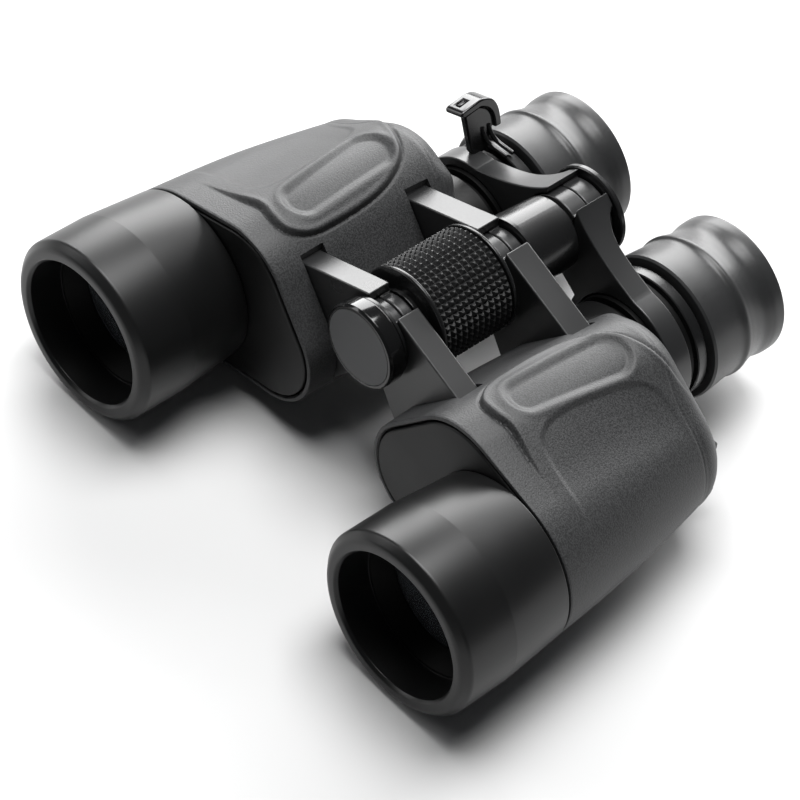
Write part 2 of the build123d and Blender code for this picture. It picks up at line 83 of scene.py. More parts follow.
def add_camera():
    """Camera at the main viewing angle, tilted by its roll."""
    az, el = VIEW_AZIMUTH, VIEW_ELEVATION
    right = Vector((cos(az), sin(az), 0))
    back = Vector((sin(az) * cos(el), -cos(az) * cos(el), sin(el)))
    up = back.cross(right)
    x = cos(VIEW_ROLL) * right + sin(VIEW_ROLL) * up
    y = cos(VIEW_ROLL) * up - sin(VIEW_ROLL) * right
    data = bpy.data.cameras.new("camera")
    data.lens = LENS
    data.clip_end = 20
    camera = bpy.data.objects.new("camera", data)
    matrix = Matrix((x, y, back)).transposed().to_4x4()
    matrix.translation = VIEW_TARGET + VIEW_DISTANCE * back
    camera.matrix_world = matrix
    bpy.context.scene.collection.objects.link(camera)
    bpy.context.scene.camera = camera


def add_light(name, place, target, size, power):
    """Rectangular softbox at place, aimed at target."""
    data = bpy.data.lights.new(name, "AREA")
    data.shape = "RECTANGLE"
    data.size, data.size_y = size
    data.energy = power
    light = bpy.data.objects.new(name, data)
    light.location = place
    aim = Vector(target) - Vector(place)
    light.rotation_euler = aim.to_track_quat("-Z", "Y").to_euler()
    bpy.context.scene.collection.objects.link(light)


# ---------------------------------------------------------------- materials
class Nodes:
    """Node tree of one material, with short calls for the nodes that the finishes share."""

    def __init__(self, name, **settings):
        self.material = bpy.data.materials.new(name)
        self.material.use_nodes = True
        self.tree = self.material.node_tree
        self.shader = self.tree.nodes["Principled BSDF"]
        for socket, value in settings.items():
            self.shader.inputs[socket.replace("_", " ")].default_value = value
        self.place = self.tree.nodes.new("ShaderNodeTexCoord").outputs["Object"]

    def noise(self, scale, detail=3.0, roughness=0.55, stretch=None):
        node = self.tree.nodes.new("ShaderNodeTexNoise")
        node.inputs["Scale"].default_value = scale
        node.inputs["Detail"].default_value = detail
        node.inputs["Roughness"].default_value = roughness
        source = self.place
        if stretch:
            mapping = self.tree.nodes.new("ShaderNodeMapping")
            mapping.inputs["Scale"].default_value = stretch
            self.tree.links.new(source, mapping.inputs["Vector"])
            source = mapping.outputs["Vector"]
        self.tree.links.new(source, node.inputs["Vector"])
        return node.outputs["Fac"]

    def cells(self, scale):
        node = self.tree.nodes.new("ShaderNodeTexVoronoi")
        node.inputs["Scale"].default_value = scale
        self.tree.links.new(self.place, node.inputs["Vector"])
        return node.outputs["Distance"]

    def spread(self, value, low, high, start=0.3, end=0.7):
        """Value's range start..end stretched over low..high."""
        node = self.tree.nodes.new("ShaderNodeMapRange")
        node.inputs["From Min"].default_value = start
        node.inputs["From Max"].default_value = end
        node.inputs["To Min"].default_value = low
        node.inputs["To Max"].default_value = high
        self.tree.links.new(value, node.inputs["Value"])
        return node.outputs["Result"]

    def colours(self, value, *stops):
        node = self.tree.nodes.new("ShaderNodeValToRGB")
        ramp = node.color_ramp
        for index, (place, grey) in enumerate(stops):
            stop = ramp.elements[index] if index < 2 else ramp.elements.new(place)
            stop.position = place
            stop.color = (*grey, 1.0)
        self.tree.links.new(value, node.inputs["Fac"])
        return node.outputs["Color"]

    def bump(self, *layers):
        """Stack of (height, strength, distance in millimetres)."""
        normal = None
        for height, strength, distance in layers:
            node = self.tree.nodes.new("ShaderNodeBump")
            node.inputs["Strength"].default_value = strength
            node.inputs["Distance"].default_value = distance * MM
            self.tree.links.new(height, node.inputs["Height"])
            if normal:
                self.tree.links.new(normal, node.inputs["Normal"])
            normal = node.outputs["Normal"]
        self.tree.links.new(normal, self.shader.inputs["Normal"])

    def link(self, value, socket):
        self.tree.links.new(value, self.shader.inputs[socket])


def grey(level, blue=1.04):
    return (level, level * (1 + (blue - 1) * 0.4), level * blue)


def rubber(name, level, roughness, grain, depth, speckle=0.12, shine=0.3, wave=0.1):
    """Moulded rubber: fine granular skin and slight clouding."""
    n = Nodes(name, Specular_IOR_Level=shine)
    clouds = n.noise(35, 4)
    fine = n.noise(grain, 1, 0.5)
    dark = (0.38, grey(level * (1 - speckle)))
    pale = (0.62, grey(level * (1 + speckle)))
    n.link(n.colours(fine, dark, pale), "Base Color")
    n.link(n.spread(fine, roughness - 0.07, roughness + 0.07), "Roughness")
    n.bump((fine, 0.7, depth), (n.cells(grain * 0.8), 0.25, depth), (clouds, wave, 0.1))
    return n.material


def satin(name, level, roughness, metallic=0.0, grain=1500, depth=0.012, shine=0.35):
    """Smooth satin plastic or paint with a faint orange peel."""
    n = Nodes(name, Metallic=metallic, Specular_IOR_Level=shine)
    clouds = n.noise(22, 3)
    fine = n.noise(grain, 2)
    n.link(n.colours(clouds, (0.35, grey(level * 0.9)), (0.65, grey(level * 1.1))), "Base Color")
    n.link(n.spread(clouds, roughness - 0.03, roughness + 0.05), "Roughness")
    n.bump((fine, 0.35, depth), (n.noise(260, 2), 0.12, 0.02))
    return n.material


def turned_metal(name, colour, roughness, metallic=1.0):
    """Lathe-turned metal: fine rings round the barrel axis."""
    n = Nodes(name, Metallic=metallic)
    rings = n.noise(900, 2, 0.5, stretch=(0.05, 1.0, 0.05))
    low = tuple(c * 0.82 for c in colour)
    n.link(n.colours(rings, (0.3, low), (0.7, colour)), "Base Color")
    n.link(n.spread(rings, roughness - 0.06, roughness + 0.1), "Roughness")
    n.bump((rings, 0.3, 0.01))
    return n.material


def coated_glass(name, tint, coat):
    """Lens glass: dark through the bore, with a coloured coating and faint dust."""
    n = Nodes(name, Transmission_Weight=0.9, IOR=1.5, Coat_Weight=coat, Coat_IOR=1.7)
    clouds = n.noise(40, 2)
    deeper = tuple(c * 0.85 for c in tint)
    n.link(n.colours(n.noise(12, 1), (0.3, tint), (0.7, deeper)), "Base Color")
    n.link(n.spread(clouds, 0.0, 0.03), "Roughness")
    n.bump((clouds, 0.01, 0.01))
    return n.material


FINISH = {
    "armour_rubber": rubber("armour_rubber", 0.034, 0.47, 2300, 0.10, speckle=0.3),
    "grip_rubber": rubber("grip_rubber", 0.011, 0.36, 2600, 0.02),
    "eyecup_rubber": rubber(
        "eyecup_rubber", 0.022, 0.35, 3400, 0.006, speckle=0.05, shine=0.42, wave=0.02,
    ),
    "tube_black": satin("tube_black", 0.006, 0.33, grain=2600, depth=0.012, shine=0.32),
    "arm_paint": satin("arm_paint", 0.020, 0.3, grain=1800, depth=0.02, shine=0.5),
    "cover_black": satin("cover_black", 0.005, 0.42, grain=1700, depth=0.03, shine=0.25),
    "loop_plastic": satin("loop_plastic", 0.012, 0.4),
    "cap_face": satin("cap_face", 0.085, 0.6, grain=2400, depth=0.02),
    "cap_gloss": satin("cap_gloss", 0.006, 0.12, depth=0.004, shine=0.5),
    "lever_gloss": satin("lever_gloss", 0.006, 0.16, depth=0.004, shine=0.5),
    "bore_black": satin("bore_black", 0.003, 0.5, grain=1500, depth=0.02, shine=0.12),
    "ring_black": satin("ring_black", 0.009, 0.25, grain=2400, depth=0.004, shine=0.5),
    "steel": turned_metal("steel", (0.30, 0.30, 0.31), 0.3),
    "spring_steel": turned_metal("spring_steel", (0.55, 0.55, 0.56), 0.28),
    "brass": turned_metal("brass", (0.62, 0.48, 0.24), 0.3),
    "coated_glass": coated_glass("coated_glass", (0.30, 0.33, 0.36), 0.3),
    "prism_glass": coated_glass("prism_glass", (0.86, 0.9, 0.88), 0.1),
}


def paint_frame():
    """Give every CAD node the finish of its material slot."""
    for entry in frame["record"]["subparts"]:
        node = NODES[entry["node"]]
        for slot in node.material_slots:
            slot.material = FINISH[entry["material_slot"]]


# ---------------------------------------------------------------- mesh helpers
def new_piece(name, points, faces, body, slot, stands_for, sharp=32.0):
    """Mesh object from points in millimetres (x, station, z), riding on a body."""
    mesh = bpy.data.meshes.new(name)
    points = np.array(points, float).reshape(-1, 3)
    points[:, 1] += RIM_Y
    mesh.from_pydata((points * MM).tolist(), [], faces)
    mesh.validate()
    fix = bmesh.new()
    fix.from_mesh(mesh)
    bmesh.ops.recalc_face_normals(fix, faces=fix.faces)
    fix.to_mesh(mesh)
    fix.free()
    return dress(name, mesh, body, slot, stands_for, sharp)


def dress(name, mesh, body, slot, stands_for, sharp=32.0):
    """Shade a mesh, give it its slot's finish and let it ride on its body."""
    mesh.materials.clear()
    mesh.materials.append(FINISH[slot])
    mesh.shade_smooth()
    mesh.set_sharp_from_angle(angle=radians(sharp))
    piece = bpy.data.objects.new(name, mesh)
    bpy.context.scene.collection.objects.link(piece)
    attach(piece, body)
    if stands_for:
        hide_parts(*stands_for)
    return piece


def rounded(outline, steps=5):
    """Closed outline of (a, b, radius) corners with each corner rounded to its radius."""
    points = []
    count = len(outline)
    for i, (a, b, radius) in enumerate(outline):
        here = Vector((a, b))
        if radius <= 0:
            points.append((a, b))
            continue
        before = (Vector(outline[i - 1][:2]) - here)
        after = (Vector(outline[(i + 1) % count][:2]) - here)
        half = before.angle(after) / 2
        reach = min(radius / tan(half), 0.49 * before.length, 0.49 * after.length)
        start = here + before.normalized() * reach
        end = here + after.normalized() * reach
        for k in range(steps + 1):
            t = k / steps
            point = start * (1 - t) ** 2 + here * 2 * t * (1 - t) + end * t * t
            points.append((point.x, point.y))
    return points


def lathe(name, outline, x, z, body, slot, stands_for, segments=192, sharp=32.0):
    """Closed (station, radius, corner radius) outline turned about an axis along Y."""
    profile = rounded(outline)
    rows = len(profile)
    points = []
    faces = []
    for k in range(segments):
        angle = 2 * pi * k / segments
        for station, radius in profile:
            points.append((x + radius * cos(angle), station, z + radius * sin(angle)))
    for k in range(segments):
        for i in range(rows):
            a = k * rows + i
            b = k * rows + (i + 1) % rows
            c = (k + 1) % segments * rows + (i + 1) % rows
            d = (k + 1) % segments * rows + i
            faces.append((a, b, c, d))
    return new_piece(name, points, faces, body, slot, stands_for, sharp)


def smoothstep(value, start, end):
    t = np.clip((value - start) / (end - start), 0, 1)
    return t * t * (3 - 2 * t)


# ---------------------------------------------------------------- armour
FRONT_CIRCLES = ((0.0, 0.0, 25.2), (-19.0, 10.5, 20.3), (-32.2, -1.0, 17.7))
REAR_CIRCLES = ((-4.8, -0.8, 21.8), (-17.5, 12.8, 18.0), (-31.5, -1.0, 16.5))
HOUSING_FRONT = 38.2
ROUND_START = 97.9
REAR_ROUND = 8.5
SIDE_BULGE = 1.1
AROUND = 640                # points round the armour
ROW_STEP = 0.32
GIRTH = 32.0 * pi / 180     # millimetres along the skin for a degree about its middle
MIDDLE_X = OBJECTIVE_X - 16.0

# Outlines on the skin as (degrees about its middle from the outer side, station).
RAISED_PANEL = (
    (20, 46.0), (39, 46.0), (64, 46.7), (85, 48.1), (95, 47.3), (104, 47.6), (110, 50.2),
    (114, 55), (115, 62), (114.5, 72), (112, 81), (107, 88.2), (100, 93.3), (90, 96.6),
    (78, 99.2), (62, 101.2), (20, 103),
)
SUNK_PANEL = (
    (8, 50.6), (36, 51.0), (52, 51.5), (64, 51.9), (72, 53.2), (77, 56.4), (79, 61.5),
    (78.5, 68), (76.5, 76), (73.5, 84), (68, 90.4), (58, 93.4), (40, 94.2), (8, 94.2),
)
THUMB_REST = ((95.5, 58.7), (90.0, 85.8))
THUMB_R = 6.3


def section(station, inset):
    """Points round the housing at a station, evenly spaced from the outer side upwards."""
    along = min((station - HOUSING_FRONT) / (ROUND_START - HOUSING_FRONT), 1.0)
    swell = SIDE_BULGE * (1 - abs(2 * along - 1) ** 1.6)
    circles = []
    for front, rear in zip(FRONT_CIRCLES, REAR_CIRCLES):
        x, z, radius = [a + (b - a) * along for a, b in zip(front, rear)]
        circles.append((OBJECTIVE_X + x, BARREL_Z + z, radius + swell - inset))
    angles = []
    for i, (x, z, radius) in enumerate(circles):
        next_x, next_z, next_radius = circles[(i + 1) % 3]
        heading = atan2(next_z - z, next_x - x)
        spread = hypot(next_x - x, next_z - z)
        lean = np.arccos(np.clip((radius - next_radius) / spread, -1, 1))
        angles.append(heading - lean)
    points = []
    for i, (x, z, radius) in enumerate(circles):
        start, end = angles[i - 1], angles[i]
        while end < start:
            end += 2 * pi
        for angle in np.linspace(start, end, 60):
            points.append((x + radius * cos(angle), z + radius * sin(angle)))
    points = np.array(points + points[:1])
    length = np.concatenate([[0], np.cumsum(np.hypot(*np.diff(points, axis=0).T))])
    bearing = np.unwrap(np.arctan2(points[:, 1] - BARREL_Z, points[:, 0] - MIDDLE_X))
    outermost = np.interp(0.0 if bearing[0] < 0 else 2 * pi, bearing, length)
    even = outermost + np.linspace(0, length[-1], AROUND, endpoint=False)
    even %= length[-1]
    return np.column_stack([np.interp(even, length, points[:, k]) for k in (0, 1)])


def edge_distance(outline, girth, station):
    """Distance in millimetres to a closed outline, negative inside it."""
    corners = np.array([(a * GIRTH, s) for a, s in outline])
    nearest = np.full(girth.shape, 1e9)
    inside = np.zeros(girth.shape, bool)
    for (ax, ay), (bx, by) in zip(corners, np.roll(corners, -1, axis=0)):
        length2 = (bx - ax) ** 2 + (by - ay) ** 2
        t = np.clip(((girth - ax) * (bx - ax) + (station - ay) * (by - ay)) / length2, 0, 1)
        gap = np.hypot(girth - ax - t * (bx - ax), station - ay - t * (by - ay))
        nearest = np.minimum(nearest, gap)
        crosses = (ay > station) != (by > station)
        reach = ax + (station - ay) / (by - ay if by != ay else 1e-9) * (bx - ax)
        inside ^= crosses & (girth < reach)
    return np.where(inside, -nearest, nearest)


def smooth_outline(outline, steps=6):
    """Outline with a smooth curve through its corners."""
    corners = np.array(outline, float)
    count = len(corners)
    points = []
    for i in range(count):
        p0, p1, p2, p3 = (corners[(i + k) % count] for k in (-1, 0, 1, 2))
        for t in np.linspace(0, 1, steps, endpoint=False):
            points.append(
                0.5 * (2 * p1 + (p2 - p0) * t + (2 * p0 - 5 * p1 + 4 * p2 - p3) * t ** 2
                       + (3 * p1 - p0 - 3 * p2 + p3) * t ** 3)
            )
    return points


def skin_height(bearing, station):
    """How far the moulded features stand off the plain housing, in millimetres."""
    girth = bearing * GIRTH
    raised = edge_distance(smooth_outline(RAISED_PANEL), girth, station)
    step = 0.9 + 0.4 * smoothstep(station, 52, 62)
    height = 1.25 * smoothstep(-raised, -0.2, step) * smoothstep(bearing, 40, 88)
    foot = np.exp(-((raised - 0.25) / 0.4) ** 2)
    height -= 0.42 * foot * smoothstep(bearing, 56, 90)
    lip = np.exp(-((raised + step + 0.4) / 0.8) ** 2)
    height += 0.18 * lip * smoothstep(bearing, 60, 84)
    sunk = edge_distance(smooth_outline(SUNK_PANEL), girth, station)
    fade = smoothstep(bearing, 26, 58) * (1 - 0.5 * smoothstep(station, 84, 94))
    height -= 0.75 * smoothstep(-sunk, -0.9, 0.9) * fade
    (a, s), (b, t) = THUMB_REST
    along_x, along_y = (b - a) * GIRTH, t - s
    length2 = along_x ** 2 + along_y ** 2
    share = np.clip(((girth - a * GIRTH) * along_x + (station - s) * along_y) / length2, 0, 1)
    away = np.hypot(girth - a * GIRTH - share * along_x, station - s - share * along_y)
    reach = THUMB_R + 1.3 * share
    height -= 1.15 * (1 - smoothstep(away, reach - 2.6, reach))
    height += 0.15 * np.exp(-((away - reach - 0.5) / 0.9) ** 2)
    crease = 96.6 + 3.9 * smoothstep(bearing, 44, 96) - 1.2 * smoothstep(bearing, 100, 118)
    height -= 0.16 * np.exp(-((station - crease) / 0.3) ** 2) * smoothstep(bearing, -20, 20)
    height += 0.10 * np.exp(-((girth + 7 * GIRTH) / 0.28) ** 2)
    return height


def armour(side, sign):
    """Rubber skin of one housing, with its moulded panels, thumb rest and seams."""
    rows = []
    for offset, station in ((0.5, 38.2), (0.15, 38.32), (0.0, 38.7)):
        rows.append((station, offset, 0.0))
    for station in np.arange(38.7 + ROW_STEP, ROUND_START, ROW_STEP):
        rows.append((float(station), 0.0, 0.0))
    for turn in np.linspace(0, 90, 31):
        turn = radians(turn)
        rows.append((ROUND_START + REAR_ROUND * sin(turn), REAR_ROUND * (1 - cos(turn)), turn))
    grid = np.zeros((len(rows), AROUND, 3))
    for i, (station, inset, turn) in enumerate(rows):
        ring = section(station, inset)
        bearing = np.degrees(np.arctan2(ring[:, 1] - BARREL_Z, ring[:, 0] - MIDDLE_X))
        ahead = np.roll(ring, -1, axis=0) - np.roll(ring, 1, axis=0)
        normal = np.column_stack([ahead[:, 1], -ahead[:, 0]])
        normal /= np.hypot(*normal.T)[:, None]
        surface_station = ROUND_START + REAR_ROUND * turn if turn else station
        height = skin_height(bearing, np.full(AROUND, surface_station))
        height *= smoothstep(np.full(AROUND, station), 38.6, 40.5)
        lobe = 1.3 * np.exp(-(((bearing - 123) * GIRTH) / 4.5) ** 2)
        height += lobe * np.exp(-((surface_station - 104.5) / 4.5) ** 2)
        grid[i, :, 0] = ring[:, 0] + normal[:, 0] * height * cos(turn)
        grid[i, :, 1] = station + height * sin(turn)
        grid[i, :, 2] = ring[:, 1] + normal[:, 1] * height * cos(turn)
    rings = [grid]
    last = grid[-1]
    hub = last.mean(axis=0)
    for share in (0.7, 0.4, 0.1):
        rings.append((hub + (last - hub) * share)[None])
    inner = []
    for station, inset in ((104.5, 9.5), (103.5, 6.0), (100.5, 2.8), (97.0, 1.5), (60.0, 1.5),
                           (38.6, 1.5), (38.2, 1.1)):
        ring = section(station, inset)
        inner.append(np.column_stack([ring[:, 0], np.full(AROUND, station), ring[:, 1]]))
    outer = np.concatenate(rings)
    inner = np.array(inner)
    points = np.concatenate([outer.reshape(-1, 3), inner.reshape(-1, 3)])
    points = np.vstack([points, [hub], [inner[0].mean(axis=0)]])
    count_out, count_in = len(outer), len(inner)
    faces = []

    def band(first, second):
        for j in range(AROUND):
            k = (j + 1) % AROUND
            faces.append((first * AROUND + j, first * AROUND + k,
                          second * AROUND + k, second * AROUND + j))

    for i in range(count_out - 1):
        band(i, i + 1)
    for i in range(count_in - 1):
        band(count_out + i, count_out + i + 1)
    band(count_out + count_in - 1, 0)
    tip = len(points) - 2
    for j in range(AROUND):
        k = (j + 1) % AROUND
        faces.append(((count_out - 1) * AROUND + j, (count_out - 1) * AROUND + k, tip))
        faces.append((count_out * AROUND + k, count_out * AROUND + j, tip + 1))
    points[:, 0] *= sign
    piece = new_piece(
        f"{side}_armour_skin", points, faces, f"{side}_half", "armour_rubber",
        [f"{side}_armour"], 40.0,
    )
    cut(piece, sleeve_cutter(sign))
    for (start, end), slot_end in ((FRONT_ARM, 31.6), (REAR_ARM, 33.2)):
        cut(piece, arm_cutter(sign, start - 0.3, end + 0.3, slot_end))
    piece.data.set_sharp_from_angle(angle=radians(40))
    return piece


FRONT_ARM = (48.0, 55.5)
REAR_ARM = (87.5, 95.7)


def prism_mesh(name, outline, start, end):
    """Closed prism of an (x, z) outline between two stations, as a bare object."""
    count = len(outline)
    points = [(x, s, z) for s in (start, end) for x, z in outline]
    faces = [tuple(range(count)), tuple(range(2 * count - 1, count - 1, -1))]
    for i in range(count):
        k = (i + 1) % count
        faces.append((i, k, count + k, count + i))
    mesh = bpy.data.meshes.new(name)
    points = np.array(points, float)
    points[:, 1] += RIM_Y
    mesh.from_pydata((points * MM).tolist(), [], faces)
    fix = bmesh.new()
    fix.from_mesh(mesh)
    bmesh.ops.recalc_face_normals(fix, faces=fix.faces)
    fix.to_mesh(mesh)
    fix.free()
    cutter = bpy.data.objects.new(name, mesh)
    bpy.context.scene.collection.objects.link(cutter)
    return cutter


def arm_cutter(sign, start, end, slot_end):
    """The slot that an arm passes through, open above the arm up to slot_end."""
    grow = 0.3
    outline = [
        (sign * x, z) for x, z in (
            (5.5, HINGE_Z + 13), (slot_end, HINGE_Z + 13), (slot_end, HINGE_Z - 12),
            (38.0, HINGE_Z - 34.0), (22.0, HINGE_Z - 38.0), (13.5, HINGE_Z - 29.0 - grow),
            (4.7, HINGE_Z - 17.4),
        )
    ]
    return prism_mesh("cutter", outline, start, end)


def sleeve_cutter(sign):
    outline = []
    for k in range(128):
        angle = 2 * pi * k / 128
        outline.append((sign * (EYEPIECE_X + 17.6 * cos(angle)), BARREL_Z + 17.6 * sin(angle)))
    return prism_mesh("cutter", outline, 96.0, 120.0)


def cut(piece, cutter, operation="DIFFERENCE"):
    """Take the cutter's shape out of the piece, or add it, and remove the cutter."""
    boolean = piece.modifiers.new("cut", "BOOLEAN")
    boolean.operation = operation
    boolean.solver = "MANIFOLD"
    boolean.object = cutter
    bpy.context.view_layer.update()
    depsgraph = bpy.context.evaluated_depsgraph_get()
    result = bpy.data.meshes.new_from_object(piece.evaluated_get(depsgraph))
    piece.modifiers.clear()
    old = piece.data
    piece.data = result
    bpy.data.meshes.remove(old)
    bpy.data.objects.remove(cutter)


# ---------------------------------------------------------------- focus wheel
WHEEL = (57.3, 84.3)
STUDS_AROUND = 48
STUD_ROWS = 12


def focus_grip():
    """Rubber sleeve of blunt pyramids in rows round the focus wheel."""
    start, end = WHEEL[0] + 1.3, WHEEL[1] - 1.3
    valley, peak, inner = 14.6, 15.6, 13.25
    blunt = 0.22
    points = []
    faces = []

    def place(turn, share, radius):
        angle = 2 * pi * turn / STUDS_AROUND
        station = start + (end - start) * share / STUD_ROWS
        points.append((radius * cos(angle), station, HINGE_Z + radius * sin(angle)))
        return len(points) - 1

    corner = [[place(a, r, valley) for a in range(STUDS_AROUND)] for r in range(STUD_ROWS + 1)]
    for row in range(STUD_ROWS):
        for stud in range(STUDS_AROUND):
            after = (stud + 1) % STUDS_AROUND
            base = [corner[row][stud], corner[row][after], corner[row + 1][after],
                    corner[row + 1][stud]]
            top = []
            for du, dv in ((-1, -1), (1, -1), (1, 1), (-1, 1)):
                top.append(place(stud + 0.5 + du * blunt / 2, row + 0.5 + dv * blunt / 2, peak))
            faces.append(tuple(top))
            for k in range(4):
                faces.append((base[k], base[(k + 1) % 4], top[(k + 1) % 4], top[k]))
    for row, flip in ((0, 1), (STUD_ROWS, -1)):
        rim = [place(a, row, inner) for a in range(STUDS_AROUND)]
        for stud in range(STUDS_AROUND):
            after = (stud + 1) % STUDS_AROUND
            faces.append((corner[row][stud], corner[row][after], rim[after], rim[stud])[::flip])
        if row == 0:
            first_rim = rim
    for stud in range(STUDS_AROUND):
        after = (stud + 1) % STUDS_AROUND
        faces.append((first_rim[stud], first_rim[after], rim[after], rim[stud]))
    piece = new_piece(
        "focus_grip_studs", points, faces, "focus_wheel", "grip_rubber",
        ["focus_wheel_grip"], 20.0,
    )
    bevel = piece.modifiers.new("edges", "BEVEL")
    bevel.width = 0.09 * MM
    bevel.segments = 2
    bevel.limit_method = "ANGLE"
    bevel.angle_limit = radians(25)
    bevel.harden_normals = True
    return piece


# ---------------------------------------------------------------- objective tubes
def objective(side, sign):
    """Objective barrel: thick rounded rim, straight front band, slow taper to the housing."""
    lathe(
        f"{side}_objective_barrel",
        [(0.0, 21.6, 0.5), (-1.0, 22.4, 0.7), (-1.0, 25.0, 2.4), (1.3, 27.2, 1.6),
         (17.0, 27.15, 0.1), (37.4, 25.35, 0.4), (37.4, 20.8, 0), (47.0, 20.8, 0.3),
         (47.0, 19.4, 0), (26.5, 19.4, 0), (26.5, 17.3, 0), (25.0, 17.3, 0), (25.0, 18.6, 0),
         (16.2, 18.6, 0.35), (16.2, 21.3, 0.3), (10.4, 21.3, 0), (10.4, 21.6, 0.1)],
        sign * OBJECTIVE_X, BARREL_Z, f"{side}_half", "tube_black",
        [f"{side}_objective_tube"],
    )


def front_cover(side, sign):
    """Plate that closes the housing round the objective barrel, with a rounded edge."""
    rows = []
    turns = None
    for station, inset in ((41.1, 2.0), (38.6, 2.0), (38.3, 2.06), (38.05, 2.25), (37.9, 2.6)):
        ring = section(station, inset)[::2]
        if turns is None:
            turns = np.arctan2(ring[:, 1] - BARREL_Z, ring[:, 0] - OBJECTIVE_X)
        rows.append(np.column_stack([sign * ring[:, 0], np.full(len(ring), station), ring[:, 1]]))
    for station in (37.9, 41.1):
        x = sign * (OBJECTIVE_X + 20.9 * np.cos(turns))
        rows.append(np.column_stack([x, np.full(len(x), station), BARREL_Z + 20.9 * np.sin(turns)]))
    count = len(turns)
    faces = []
    for i in range(len(rows)):
        k = (i + 1) % len(rows)
        for j in range(count):
            m = (j + 1) % count
            faces.append((i * count + j, i * count + m, k * count + m, k * count + j))
    new_piece(f"{side}_front_plate", np.concatenate(rows), faces, f"{side}_half",
              "cover_black", [f"{side}_front_cover"])


# ---------------------------------------------------------------- hinge and bridge arms
KNUCKLE_R = 9.5
BRIDGE_KNUCKLE_R = 10.4
BRIDGE_ARM = (113.8, 125.8)
BRIDGE_RING_END = 121.0
OCULAR_RING_R = 20.5
COLLAR_R = 17.6
FLANGE_R = 18.6


def disc_outline(x, z, radius, segments=96):
    turns = [2 * pi * k / segments for k in range(segments)]
    return [(x + radius * cos(turn), z + radius * sin(turn)) for turn in turns]


def bevelled(piece, width, segments=3, sharp=24.0):
    """Round a clean piece's hard edges, after merging its flat faces."""
    work = bmesh.new()
    work.from_mesh(piece.data)
    bmesh.ops.remove_doubles(work, verts=work.verts, dist=1e-6)
    bmesh.ops.dissolve_limit(work, angle_limit=radians(0.5), verts=work.verts, edges=work.edges)
    work.to_mesh(piece.data)
    work.free()
    piece.data.shade_smooth()
    bevel = piece.modifiers.new("edges", "BEVEL")
    bevel.width = width * MM
    bevel.segments = segments
    bevel.limit_method = "ANGLE"
    bevel.angle_limit = radians(sharp)
    bevel.use_clamp_overlap = False
    bevel.harden_normals = True
    return piece


def half_span(start, end, own_half):
    """Stations of a knuckle's own half and of the room for its partner's half."""
    middle = (start + end) / 2
    if own_half:
        return (middle + 0.1, end - 0.1), (start - 1, middle + 0.1)
    return (start + 0.1, middle - 0.1), (middle - 0.1, end + 1)


def knuckle(piece, start, end, own_half, radius, bore):
    """Give an arm its half of the hinge knuckle, and clear its partner's half."""
    own, other = half_span(start, end, own_half)
    cut(piece, prism_mesh("cutter", disc_outline(0, HINGE_Z, radius + 0.4), *other))
    cut(piece, prism_mesh("cutter", disc_outline(0, HINGE_Z, radius), *own), "UNION")
    cut(piece, prism_mesh("cutter", disc_outline(0, HINGE_Z, bore), start - 2, end + 2))


def hinge_arm(name, side, sign, span, own_half):
    """Flat-topped arm of a barrel, from its knuckle into the armour's slot."""
    outline = [
        (sign * x, HINGE_Z + z) for x, z in (
            (5.5, 11.3), (33.5, 0.8), (38.0, -12.0), (38.0, -34.0), (22.0, -38.0),
            (13.5, -29.0), (4.7, -17.4), (2.6, -12.3),
        )
    ]
    piece = prism_mesh(name, outline, *span)
    knuckle(piece, *span, own_half, KNUCKLE_R, 5.05)
    piece.data.materials.clear()
    piece.data.materials.append(FINISH["arm_paint"])
    bevelled(piece, 0.5)
    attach(piece, f"{side}_half")
    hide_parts(f"{side}_body_shell")


def shell(side, sign):
    """Cast shell under the armour, seen round the front cover and through the slots."""
    rows = []
    for station, inset in ((41.2, 1.6), (69.6, 1.6), (96.0, 1.6), (96.0, 3.0), (69.6, 3.0),
                           (41.2, 3.0)):
        ring = section(station, inset)[::4]
        rows.append(np.column_stack([sign * ring[:, 0], np.full(len(ring), station), ring[:, 1]]))
    count = len(rows[0])
    faces = []
    for i in range(len(rows)):
        k = (i + 1) % len(rows)
        for j in range(count):
            m = (j + 1) % count
            faces.append((i * count + j, i * count + m, k * count + m, k * count + j))
    new_piece(f"{side}_shell_wall", np.concatenate(rows), faces, f"{side}_half",
              "arm_paint", [f"{side}_body_shell"])


